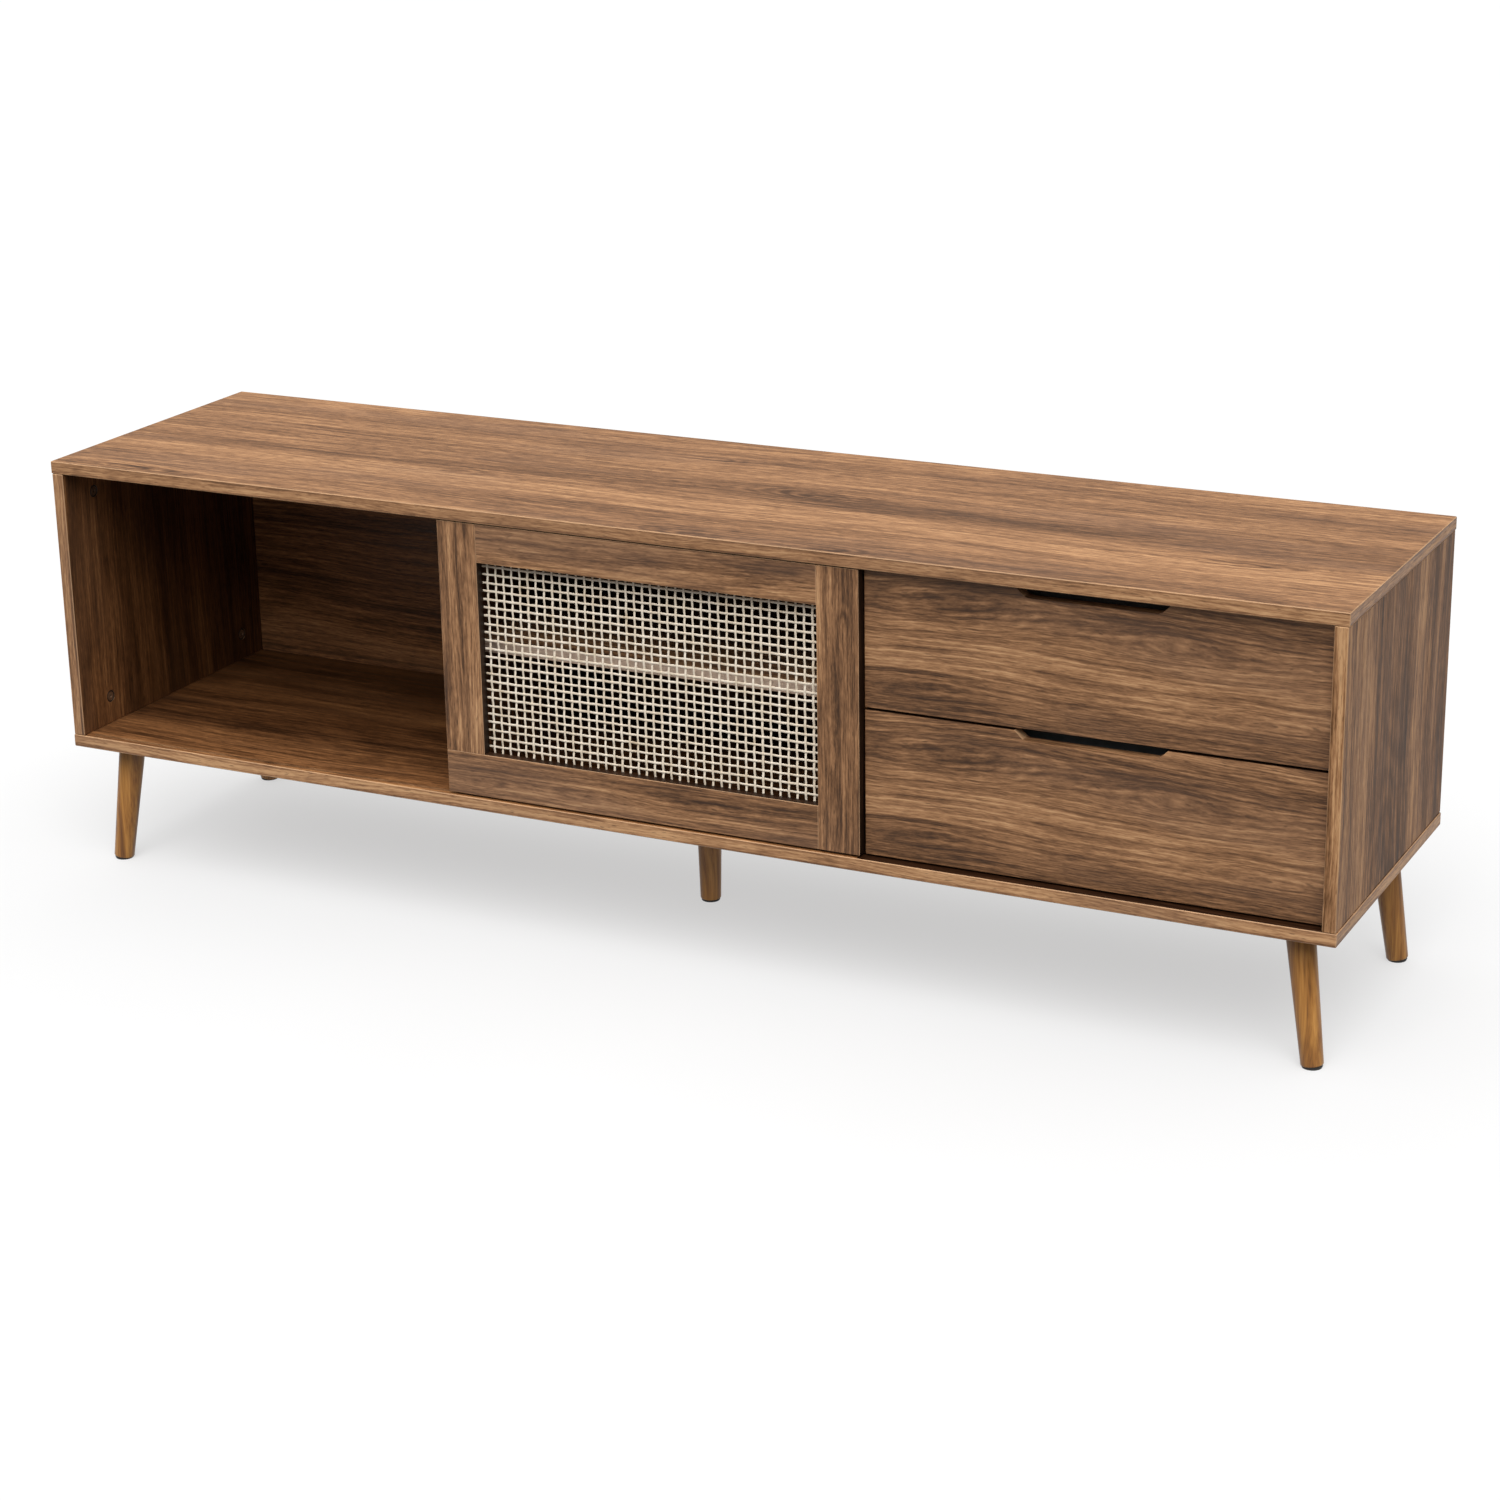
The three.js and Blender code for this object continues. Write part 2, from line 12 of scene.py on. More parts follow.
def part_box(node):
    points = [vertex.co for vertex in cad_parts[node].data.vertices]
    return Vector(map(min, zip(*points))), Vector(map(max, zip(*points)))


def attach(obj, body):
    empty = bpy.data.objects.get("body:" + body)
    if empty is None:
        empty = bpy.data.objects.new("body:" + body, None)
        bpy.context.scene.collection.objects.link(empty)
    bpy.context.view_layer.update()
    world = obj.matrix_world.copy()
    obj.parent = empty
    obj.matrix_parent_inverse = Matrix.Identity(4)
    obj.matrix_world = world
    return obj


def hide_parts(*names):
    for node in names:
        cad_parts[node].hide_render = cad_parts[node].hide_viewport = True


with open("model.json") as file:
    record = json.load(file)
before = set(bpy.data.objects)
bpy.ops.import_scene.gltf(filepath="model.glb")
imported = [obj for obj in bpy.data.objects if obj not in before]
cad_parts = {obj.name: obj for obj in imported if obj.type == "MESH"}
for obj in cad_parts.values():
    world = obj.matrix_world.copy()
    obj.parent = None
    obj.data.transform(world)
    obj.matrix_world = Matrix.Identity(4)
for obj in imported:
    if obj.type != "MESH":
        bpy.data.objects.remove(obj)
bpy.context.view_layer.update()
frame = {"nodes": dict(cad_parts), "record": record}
MM = 0.001

# ---------------------------------------------------------------- camera, lights and floor
CAMERA_AT = (1.6886, -3.3076, 1.4814)
CAMERA_AZIMUTH = 26.639
CAMERA_ELEVATION = 19.089
CAMERA_ROLL = 1.002
CAMERA_LENS = 80.15
SENSOR_WIDTH = 36.0
FAR_ENOUGH = 200.0        # the camera's far limit, past the edge of the floor

SKY_TOP = 1.45            # brightness of the studio overhead, at the horizon and under the floor's horizon
SKY_HORIZON = 0.10
SKY_BELOW = 0.20
SKY_RISE = (0.20, 0.85)   # height in the sky, from 0 at the horizon to 1 overhead, over which it brightens
HORIZON_BLUR = 0.05
KEY_STRENGTH = 2.7
KEY_ANGLE = 50.0          # how wide the key light looks from the object, in degrees
KEY_AZIMUTH = 20.0
KEY_ELEVATION = 52.0
FLOOR_SIZE = 60.0
FLOOR_GLOW = 0.54         # light that the floor gives off by itself, so that shadows on it stay pale
FLOOR_ALBEDO = 0.285
FLOOR_ALBEDO_SPREAD = 0.01
WHITE = (1.0, 1.0, 1.0)


def direction_to(azimuth, elevation):
    """The direction from the object to a place round it, with angles in radians and azimuth 0 in front."""
    return Vector((math.sin(azimuth) * math.cos(elevation), -math.cos(azimuth) * math.cos(elevation),
                   math.sin(elevation)))


def make_camera():
    azimuth, elevation, roll = (math.radians(a) for a in (CAMERA_AZIMUTH, CAMERA_ELEVATION, CAMERA_ROLL))
    back = direction_to(azimuth, elevation)
    right = Vector((0, 0, 1)).cross(back).normalized()
    up = back.cross(right)
    rolled_right = right * math.cos(roll) - up * math.sin(roll)
    rolled_up = right * math.sin(roll) + up * math.cos(roll)
    data = bpy.data.cameras.new("camera")
    data.lens = CAMERA_LENS
    data.sensor_width = SENSOR_WIDTH
    data.clip_end = FAR_ENOUGH
    camera = bpy.data.objects.new("camera", data)
    axes = Matrix((rolled_right, rolled_up, back)).transposed()
    camera.matrix_world = Matrix.Translation(CAMERA_AT) @ axes.to_4x4()
    bpy.context.scene.collection.objects.link(camera)
    bpy.context.scene.camera = camera


def set_range(node, low, high, to_low, to_high):
    """Makes a Map Range node take low..high to to_low..to_high, smoothly and clamped."""
    node.interpolation_type = "SMOOTHSTEP"
    ends = {"From Min": low, "From Max": high, "To Min": to_low, "To Max": to_high}
    for socket, number in ends.items():
        node.inputs[socket].default_value = number


def make_sky():
    """A plain studio, bright overhead and dim at the horizon, so that the top is lit more than the sides."""
    world = bpy.data.worlds.new("studio")
    bpy.context.scene.world = world
    world.use_nodes = True
    nodes, links = world.node_tree.nodes, world.node_tree.links
    split = nodes.new("ShaderNodeSeparateXYZ")
    links.new(nodes.new("ShaderNodeTexCoord").outputs["Generated"], split.inputs[0])

    def rise(*ends):
        node = nodes.new("ShaderNodeMapRange")
        links.new(split.outputs["Z"], node.inputs["Value"])
        set_range(node, *ends)
        return node.outputs["Result"]

    total = nodes.new("ShaderNodeMath")
    total.operation = "ADD"
    links.new(rise(*SKY_RISE, SKY_HORIZON, SKY_TOP), total.inputs[0])
    links.new(rise(-HORIZON_BLUR, HORIZON_BLUR, SKY_BELOW - SKY_HORIZON, 0.0), total.inputs[1])
    background = nodes["Background"]
    links.new(total.outputs[0], background.inputs["Strength"])
    background.inputs["Color"].default_value = (*WHITE, 1.0)


def make_key_light():
    data = bpy.data.lights.new("key", "SUN")
    data.energy = KEY_STRENGTH
    data.angle = math.radians(KEY_ANGLE)
    key = bpy.data.objects.new("key", data)
    key.rotation_mode = "QUATERNION"
    towards = direction_to(math.radians(KEY_AZIMUTH), math.radians(KEY_ELEVATION))
    key.rotation_quaternion = towards.to_track_quat("Z", "Y")
    bpy.context.scene.collection.objects.link(key)


# ---------------------------------------------------------------- shader building
class Shader:
    """A material under construction, with short names for the nodes that the finishes share."""

    def __init__(self, name, **surface):
        self.material = bpy.data.materials.new(name)
        self.material.use_nodes = True
        self.tree = self.material.node_tree
        self.surface = self.tree.nodes["Principled BSDF"]
        for socket, value in surface.items():
            self.surface.inputs[socket.replace("_", " ")].default_value = value

    def put(self, socket, value):
        """Links a socket to another, or sets its number or its colour."""
        if isinstance(value, bpy.types.NodeSocket):
            self.tree.links.new(value, socket)
        elif isinstance(value, tuple) and len(value) == 3 and len(socket.default_value) == 4:
            socket.default_value = (*value, 1.0)
        else:
            socket.default_value = value

    def math(self, operation, a, b=0.0):
        node = self.tree.nodes.new("ShaderNodeMath")
        node.operation = operation
        self.put(node.inputs[0], a)
        self.put(node.inputs[1], b)
        return node.outputs[0]

    def add(self, *terms):
        total = terms[0]
        for term in terms[1:]:
            total = self.math("ADD", total, term)
        return total

    def minus(self, a, b):
        return self.math("SUBTRACT", a, b)

    def times(self, a, b):
        return self.math("MULTIPLY", a, b)

    def bell(self, value):
        """1 where the value is 0, falling off smoothly on both sides."""
        return self.math("EXPONENT", self.times(self.times(value, value), -1.0))

    def length(self, a, b):
        return self.math("SQRT", self.add(self.times(a, a), self.times(b, b)))

    def spread(self, value, low, high, to_low=0.0, to_high=1.0):
        """Maps low..high to to_low..to_high, smoothly and clamped."""
        node = self.tree.nodes.new("ShaderNodeMapRange")
        self.put(node.inputs["Value"], value)
        set_range(node, low, high, to_low, to_high)
        return node.outputs["Result"]

    def coordinates(self, kind):
        """The parts of a texture coordinate: Object is the place, and Normal is where the surface faces."""
        node = self.tree.nodes.new("ShaderNodeSeparateXYZ")
        self.put(node.inputs[0], self.tree.nodes.new("ShaderNodeTexCoord").outputs[kind])
        return list(node.outputs)

    def looking(self, axis, sign):
        """1 where the surface looks along a row axis, or against it where sign is -1, and 0 elsewhere."""
        return self.spread(self.times(self.coordinates("Normal")["XYZ".index(axis)], sign), 0.7, 0.9)

    def noise(self, x, y, z=0.0, detail=1.0, roughness=0.5):
        point = self.tree.nodes.new("ShaderNodeCombineXYZ")
        for socket, value in zip(point.inputs, (x, y, z)):
            self.put(socket, value)
        node = self.tree.nodes.new("ShaderNodeTexNoise")
        self.put(node.inputs["Vector"], point.outputs[0])
        node.inputs["Scale"].default_value = 1.0
        node.inputs["Detail"].default_value = detail
        node.inputs["Roughness"].default_value = roughness
        return node.outputs["Fac"]

    def noise_at(self, place, scales, detail=1.0, roughness=0.5):
        """Noise at a place of three coordinates, each with its own scale."""
        scaled = [self.times(part, scale) for part, scale in zip(place, scales)]
        return self.noise(*scaled, detail, roughness)

    def ramp(self, factor, stops):
        node = self.tree.nodes.new("ShaderNodeValToRGB")
        self.put(node.inputs[0], factor)
        elements = node.color_ramp.elements
        for place, colour in stops[1:-1]:
            elements.new(place)
        for element, (place, colour) in zip(elements, stops):
            element.position = place
            element.color = (*colour, 1.0)
        return node.outputs["Color"]

    def mix(self, factor, a, b, blend="MIX"):
        node = self.tree.nodes.new("ShaderNodeMix")
        node.data_type = "RGBA"
        node.blend_type = blend
        self.put(node.inputs[0], factor)
        self.put(node.inputs[6], a)
        self.put(node.inputs[7], b)
        return node.outputs[2]

    def bump(self, height, strength, distance):
        node = self.tree.nodes.new("ShaderNodeBump")
        node.inputs["Strength"].default_value = strength
        node.inputs["Distance"].default_value = distance
        self.put(node.inputs["Height"], height)
        self.put(self.surface.inputs["Normal"], node.outputs[0])

    def finish(self, colour, roughness):
        self.put(self.surface.inputs["Base Color"], colour)
        self.put(self.surface.inputs["Roughness"], roughness)
        return self.material


# ---------------------------------------------------------------- walnut laminate
WALNUT_STOPS = [
    (0.00, (0.040, 0.018, 0.008)),
    (0.20, (0.084, 0.039, 0.017)),
    (0.40, (0.170, 0.081, 0.036)),
    (0.56, (0.255, 0.126, 0.057)),
    (0.74, (0.375, 0.194, 0.090)),
    (1.00, (0.550, 0.315, 0.155)),
]
WALNUT_GREY = (0.150, 0.088, 0.060)
WALNUT_PORE = (0.045, 0.022, 0.012)
# painted highlight along the chamfered edges of the boards
ARRIS_PAINTED_HIGHLIGHT = (0.58, 0.36, 0.20)
INTERIOR_PAINTED_SHADE = (0.92, 0.79, 0.63)                # painted shade: the laminate inside the bays and the drawers is made darker and browner, standing in for the shade in there
DEEP_PAINTED_SHADE = (0.42, 0.38, 0.33)                 # painted shade, darker again towards the back
DEEP_FROM_FRONT = 0.15
SHELF_EDGE = (0.80, 0.60, 0.46)
SHELF_EDGE_COVER = 0.8
GAP_PAINTED_SHADE = (0.10, 0.08, 0.07)                  # painted shade on the unlit faces inside the gaps

# the print's layers: strength, scale along and across the grain, slice of the noise, octaves, roughness
MIDDLE_TONE = 0.47
BANDS = (0.75, 0.6, 16.0, 2.4, 1.0, 0.5)
CLOUDS = (0.42, 2.6, 26.0, 3.9, 2.0, 0.6)
STREAKS = (0.62, 2.2, 80.0, 3.3, 2.0, 0.6)
THREADS = (1.15, 8.0, 285.0, 4.7, 2.0, 0.65)
FIBRES = (0.92, 62.0, 620.0, 6.6, 2.0, 0.7)
COOL_PATCHES = (2.6, 14.0, 7.9, 2.0, 0.5)
# how the grain lines wander, from long bends to ripples: metres, scale along and across, slice, octaves
WANDER = [(0.050, 1.6, 4.0, 0.3, 1.0), (0.005, 5.0, 18.0, 5.1, 2.0), (0.0016, 26.0, 60.0, 6.3, 2.0)]
RING_STRENGTH = -0.050
LIGHT_LINE_STRENGTH = 0.10
SLICES_PER_SEED = 3.7
ARCH_SPACING = 0.0075

# eyes of each board: metres along the grain and across it, half length, half height, depth; a half height
# below zero turns its arches round
DRAWER_EYES = [(0.100, 0.128, 0.120, 0.030, 0.08), (0.060, 0.030, 0.050, 0.016, 0.06),
               (0.365, 0.110, 0.080, -0.020, 0.06), (0.450, 0.040, 0.090, -0.012, 0.05)]
TOP_EYES = [(0.740, 0.330, 0.030, 0.012, 0.20), (0.915, 0.225, 0.070, -0.022, 0.20),
            (1.450, 0.140, 0.060, 0.014, 0.22), (0.100, 0.030, 0.070, 0.014, 0.25),
            (0.860, 0.025, 0.060, -0.020, 0.15), (1.020, 0.025, 0.045, 0.014, 0.20),
            (0.450, 0.165, 0.080, 0.014, 0.15), (1.330, 0.135, 0.050, -0.010, 0.15)]
STILE_LEFT_EYES = [(0.190, 0.032, 0.075, 0.012, 0.13), (0.060, 0.012, 0.050, -0.010, 0.10)]
STILE_RIGHT_EYES = [(0.262, 0.032, 0.022, 0.009, 0.22), (0.110, 0.020, 0.090, -0.012, 0.10)]
RAIL_EYES = [(0.055, 0.018, 0.030, 0.009, 0.16), (0.175, 0.020, 0.050, -0.009, 0.15),
             (0.340, 0.030, 0.060, 0.010, 0.12)]
# stripes of each board, which drift with the grain: metres across the grain, half width, strength
DRAWER_STRIPES = [(0.085, 0.024, 0.13), (0.135, 0.020, -0.05), (0.018, 0.022, -0.07)]
TOP_STRIPES = [(0.125, 0.050, 0.12), (0.200, 0.030, -0.10), (0.385, 0.030, 0.08)]
# the band on the front edge of every carcase board, and the glue lines beside it, which run straight
EDGE_BAND = [(0.0075, 0.0085, 0.26), (0.0021, 0.0006, -0.20), (0.0129, 0.0006, -0.14),
             (0.0088, 0.0009, -0.12)]


class Grain:
    """The print of one board, at u metres along the grain and v metres across it."""

    def __init__(self, shader, seed, u, v):
        self.shader = shader
        self.seed = seed
        self.u = u
        self.v = v
        self.flow = v             # which grain line passes here; it starts straight

    def swing(self, scale_u, scale_v, layer, detail=1.0, roughness=0.5, at=None):
        """Noise around zero, stretched along the grain."""
        s = self.shader
        across = self.v if at is None else at
        place = s.times(self.u, scale_u), s.times(across, scale_v), self.seed * SLICES_PER_SEED + layer
        return s.minus(s.noise(*place, detail, roughness), 0.5)

    def layer(self, *look):
        """Noise around zero that follows the grain lines."""
        return self.swing(*look, at=self.flow)

    def eye(self, along_at, across_at, half_length, half_height, depth):
        """A run of arches that point along the grain, which the grain lines part round. Gives its tone."""
        s = self.shader
        stray_u = s.times(self.swing(9.0, 30.0, 8.1, 2.0), 0.35)
        stray_v = s.times(self.swing(11.0, 26.0, 2.9, 2.0), 0.9)
        du = s.add(s.times(s.minus(self.u, along_at), 1.0 / half_length), stray_u)
        dv = s.add(s.times(s.minus(self.v, across_at), 1.0 / abs(half_height)), stray_v)
        ahead = s.math("MAXIMUM", s.times(du, math.copysign(1.0, half_height)), 0.0)
        reach = s.math("SQRT", s.add(s.times(s.times(du, du), 0.5), s.times(dv, dv)))
        parting = s.times(s.minus(self.v, across_at), s.bell(reach))
        self.flow = s.minus(self.flow, s.times(parting, 0.6))
        wobble = s.times(self.swing(22.0, 80.0, 1.7 + along_at, 2.0), 3.5)
        arches_per_height = 2.0 * math.pi * abs(half_height) / ARCH_SPACING
        loops = s.math("SINE", s.add(s.times(s.length(ahead, dv), arches_per_height), wobble))
        inside = s.spread(reach, 0.3, 1.4, depth, 0.0)
        return s.times(s.add(s.times(loops, 0.65), -0.45), inside)

    def stripe(self, value, across_at, half_width, strength):
        s = self.shader
        return s.times(s.bell(s.times(s.minus(value, across_at), 1.0 / half_width)), strength)

    def wander(self):
        s = self.shader
        self.flow = s.add(self.flow, *(s.times(self.swing(*look), metres) for metres, *look in WANDER))

    def rings(self):
        """The contour lines of a slow noise, as a saw cuts the year rings."""
        s = self.shader
        figure = s.noise(s.times(self.u, 2.0), s.times(self.flow, 7.0), 9.2 + self.seed, 1.0, 0.4)
        jitter = self.layer(18.0, 60.0, 1.7, 2.0, 0.5)
        return s.math("SINE", s.add(s.times(figure, 90.0), s.times(jitter, 4.0)))

    def light_lines(self):
        line = self.shader.math("ABSOLUTE", self.layer(0.9, 30.0, 7.2, 1.0, 0.5))
        return self.shader.spread(line, 0.0, 0.018, 1.0, 0.0)

    def pores(self):
        s = self.shader
        dots = s.noise(s.times(self.u, 75.0), s.times(self.flow, 620.0), 8.8, 1.0)
        return s.spread(dots, 0.63, 0.76, 0.0, 0.55)


def grain_places(s, along, local, facing, ends):
    """Places along and across the grain. The two axes across it run on into each other round an edge."""
    axis = "XYZ".index(along)
    across = [local[i] for i in range(3) if i != axis]
    u, v = local[axis], s.add(*across)
    if ends:
        # the band on the ends has its grain along the band
        end_u, end_v = (local["XYZ".index(letter)] for letter in ends)
        on_end = s.spread(facing[axis], 0.7, 0.9)
        u = s.add(u, s.times(on_end, s.minus(end_u, u)))
        v = s.add(v, s.times(on_end, s.minus(end_v, v)))
    return u, v


def paint_gap_shade(s, colour, local, dark):
    """Paints shade on the faces that look along an axis, between two places measured along another."""
    for letter, sign, measured, low, high in dark:
        level = local["XYZ".index(measured)]
        within = s.times(s.spread(level, low - MM, low), s.spread(level, high, high + MM, 1.0, 0.0))
        colour = s.mix(s.times(s.looking(letter, sign), within), colour, GAP_PAINTED_SHADE, "MULTIPLY")
    return colour


def walnut(name, along, seed, origin, tint=None, inner=None, ends=None, edge_colour=None, dark=(), grey=0.3,
           contrast=1.0, lift=0.0, gloss=0.22, eyes=(), stripes=(), lines=()):
    """Printed walnut with its grain along one row axis, laid out in metres from the board's lowest corner.

    The tint is painted shade: it darkens the faces that look along the inner axis, or the whole board
    without one, and more towards the back. The letters of ends are the axes along and across the grain of
    the end bands.
    """
    s = Shader(name, Specular_IOR_Level=gloss)
    local = [s.minus(part, start) for part, start in zip(s.coordinates("Object"), origin)]
    facing = [s.math("ABSOLUTE", part) for part in s.coordinates("Normal")]
    grain = Grain(s, seed, *grain_places(s, along, local, facing, ends))

    figure_tone = 0.0
    for eye in eyes:
        figure_tone = s.add(figure_tone, grain.eye(*eye))
    for stripe in stripes:
        drifting = s.add(grain.flow, s.times(grain.swing(1.5, 3.0, 4.4), 0.05))
        figure_tone = s.add(figure_tone, grain.stripe(drifting, *stripe))
    for line in lines:
        figure_tone = s.add(figure_tone, grain.stripe(grain.v, *line))
    grain.wander()

    threads, fibres = grain.layer(*THREADS[1:]), grain.layer(*FIBRES[1:])
    tone = s.add(
        MIDDLE_TONE + lift,
        s.times(grain.layer(*BANDS[1:]), BANDS[0] * contrast),
        s.times(grain.layer(*CLOUDS[1:]), CLOUDS[0] * contrast),
        s.times(grain.layer(*STREAKS[1:]), STREAKS[0] * contrast),
        s.times(threads, THREADS[0] * contrast),
        s.times(fibres, FIBRES[0]),
        s.times(grain.rings(), RING_STRENGTH * contrast),
        s.times(grain.light_lines(), LIGHT_LINE_STRENGTH * contrast),
        figure_tone,
    )
    pores = grain.pores()
    colour = s.ramp(tone, WALNUT_STOPS)
    colour = s.mix(s.spread(grain.layer(*COOL_PATCHES), -0.02, 0.2, 0.0, grey), colour, WALNUT_GREY)
    colour = s.mix(pores, colour, WALNUT_PORE)
    if edge_colour:
        colour = s.mix(s.times(s.looking("Y", -1), SHELF_EDGE_COVER), colour, edge_colour)
    # painted shade inside the bays and drawers: the tint darkens the inner faces
    if tint:
        on_inner = s.looking(*inner) if inner else 1.0
        # more painted shade further back from the board's front
        deep_shade = s.spread(local[1], 0.0, DEEP_FROM_FRONT)
        colour = s.mix(on_inner, colour, tint, "MULTIPLY")
        colour = s.mix(s.times(deep_shade, on_inner), colour, DEEP_PAINTED_SHADE, "MULTIPLY")
    # painted highlight: the chamfers, which look along no axis, are lightened
    flat = s.math("MAXIMUM", s.math("MAXIMUM", facing[0], facing[1]), facing[2])
    colour = s.mix(s.spread(flat, 0.80, 0.93, 0.5, 0.0), colour, ARRIS_PAINTED_HIGHLIGHT)
    colour = paint_gap_shade(s, colour, local, dark)
    s.bump(s.add(s.times(threads, 0.6), s.times(fibres, 0.4), s.times(pores, -0.8)), 0.25, 0.4 * MM)
    return s.finish(colour, s.spread(s.add(threads, s.times(pores, 0.5)), -0.3, 0.4, 0.40, 0.56))


# ---------------------------------------------------------------- other finishes
LEG_STOPS = [(0.30, (0.105, 0.036, 0.006)), (0.44, (0.265, 0.106, 0.019)), (0.58, (0.400, 0.178, 0.036)),
             (0.78, (0.540, 0.262, 0.064))]
CANE_STOPS = [(0.25, (0.52, 0.40, 0.26)), (0.45, (0.72, 0.61, 0.47)), (0.75, (0.87, 0.78, 0.66))]
HARDBOARD_STOPS = [(0.3, (0.30, 0.28, 0.25)), (0.7, (0.42, 0.40, 0.37))]
BLACK_PLASTIC = (0.016, 0.014, 0.013)
SLATE_PLASTIC = (0.150, 0.170, 0.176)
BROWN_CAP = (0.110, 0.056, 0.027)
UMBER_RIM = (0.022, 0.012, 0.007)
ZINC = (0.46, 0.46, 0.48)


def leg_wood(name, seed, painted_light_gain):
    """Lacquered solid wood, golden brown, with its grain up the leg; the gain brightens it, painted light on
    legs that stand in shade.
    """
    s = Shader(name, Specular_IOR_Level=0.35, Coat_Weight=0.10, Coat_Roughness=0.30)
    x, y, z = s.coordinates("Object")
    x = s.add(x, seed)
    bend = s.times(s.minus(s.noise_at((z, x, y), (9.0, 30.0, 30.0)), 0.5), 0.012)
    x = s.add(x, bend)
    streaks = s.noise_at((x, y, z), (170.0, 170.0, 5.0), 3.0, 0.6)
    fine = s.noise_at((x, y, z), (800.0, 800.0, 25.0), 1.0, 0.6)
    tone = s.add(s.times(streaks, 0.8), s.times(fine, 0.2))
    # the gain lifts the whole colour, painted light for the legs in shade
    colour = s.ramp(tone, [(place, tuple(painted_light_gain * part for part in stop)) for place, stop in LEG_STOPS])
    s.bump(streaks, 0.15, 0.3 * MM)
    return s.finish(colour, s.spread(fine, 0.2, 0.8, 0.30, 0.44))


def cane_fibre():
    s = Shader("cane_fibre", Specular_IOR_Level=0.4, Sheen_Weight=0.1)
    place = s.coordinates("Object")
    patch = s.noise_at(place, (60.0, 60.0, 60.0), 2.0)
    fibre = s.noise_at(place, (900.0, 400.0, 900.0))
    colour = s.ramp(s.add(s.times(patch, 0.7), s.times(fibre, 0.3)), CANE_STOPS)
    s.bump(fibre, 0.3, 0.3 * MM)
    return s.finish(colour, s.spread(patch, 0.2, 0.8, 0.45, 0.65))


def moulded_plastic(name, colour, roughness):
    """Plastic with the fine spark texture of a mould."""
    s = Shader(name, Specular_IOR_Level=0.4)
    place = s.coordinates("Object")
    spark = s.noise_at(place, (1500.0, 1500.0, 1500.0), 2.0)
    cloud = s.noise_at(place, (40.0, 40.0, 40.0), 2.0)
    tint = s.mix(s.spread(cloud, 0.3, 0.7, 0.0, 0.5), colour, tuple(1.6 * part for part in colour))
    s.bump(spark, 0.2, 0.2 * MM)
    return s.finish(tint, s.spread(cloud, 0.2, 0.8, roughness - 0.06, roughness + 0.06))


def metal(name, colour, roughness):
    """Plated sheet steel, brushed along its length, with slight clouding."""
    s = Shader(name, Metallic=1.0, Specular_IOR_Level=0.5)
    place = s.coordinates("Object")
    cloud = s.noise_at(place, (35.0, 35.0, 35.0), 3.0)
    brush = s.noise_at(place, (900.0, 60.0, 900.0))
    tint = s.mix(s.spread(cloud, 0.3, 0.7, 0.0, 0.6), colour, tuple(0.72 * part for part in colour))
    s.bump(brush, 0.12, 0.2 * MM)
    wear = s.add(s.times(cloud, 0.5), s.times(brush, 0.5))
    return s.finish(tint, s.spread(wear, 0.3, 0.7, roughness - 0.08, roughness + 0.10))


def hardboard():
    s = Shader("hardboard", Specular_IOR_Level=0.3)
    place = s.coordinates("Object")
    cloud = s.noise_at(place, (14.0, 14.0, 14.0), 3.0)
    fleck = s.noise_at(place, (900.0, 900.0, 900.0))
    colour = s.ramp(s.add(s.times(cloud, 0.5), s.times(fleck, 0.5)), HARDBOARD_STOPS)
    s.bump(fleck, 0.15, 0.2 * MM)
    return s.finish(colour, s.spread(cloud, 0.2, 0.8, 0.5, 0.65))


def pale_floor():
    s = Shader("pale_floor", Specular_IOR_Level=0.0, Emission_Strength=FLOOR_GLOW)
    x, y, z = s.coordinates("Object")
    cloud = s.noise(x, y, 0.0, 2.0)
    low, high = FLOOR_ALBEDO - FLOOR_ALBEDO_SPREAD, FLOOR_ALBEDO + FLOOR_ALBEDO_SPREAD
    colour = s.ramp(cloud, [(0.3, (low, low, low)), (0.7, (high, high, high))])
    s.put(s.surface.inputs["Emission Color"], WHITE)
    return s.finish(colour, s.spread(cloud, 0.0, 1.0, 0.8, 0.9))


# ---------------------------------------------------------------- geometry helpers
def new_piece(name, mesh, material, body, replaces=()):
    piece = bpy.data.objects.new(name, mesh)
    bpy.context.scene.collection.objects.link(piece)
    piece.data.materials.append(material)
    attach(piece, body)
    if replaces:
        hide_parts(*replaces)


def mesh_from(name, build, smooth_angle=None):
    """Runs build on an empty bmesh, turns the faces outward and returns the mesh."""
    shape = bmesh.new()
    build(shape)
    bmesh.ops.recalc_face_normals(shape, faces=shape.faces)
    mesh = bpy.data.meshes.new(name)
    if smooth_angle is not None:
        for face in shape.faces:
            face.smooth = True
        for edge in shape.edges:
            if len(edge.link_faces) == 2 and edge.calc_face_angle() > math.radians(smooth_angle):
                edge.smooth = False
    shape.to_mesh(mesh)
    shape.free()
    return mesh


def add_ring(shape, radius, height, place, steps):
    """A ring of vertices about place's Z axis, or one vertex where the radius is 0."""
    if radius == 0:
        return [shape.verts.new(place @ Vector((0, 0, height)))]
    ring = []
    for i in range(steps):
        angle = 2 * math.pi * i / steps
        corner = Vector((radius * math.cos(angle), radius * math.sin(angle), height))
        ring.append(shape.verts.new(place @ corner))
    return ring


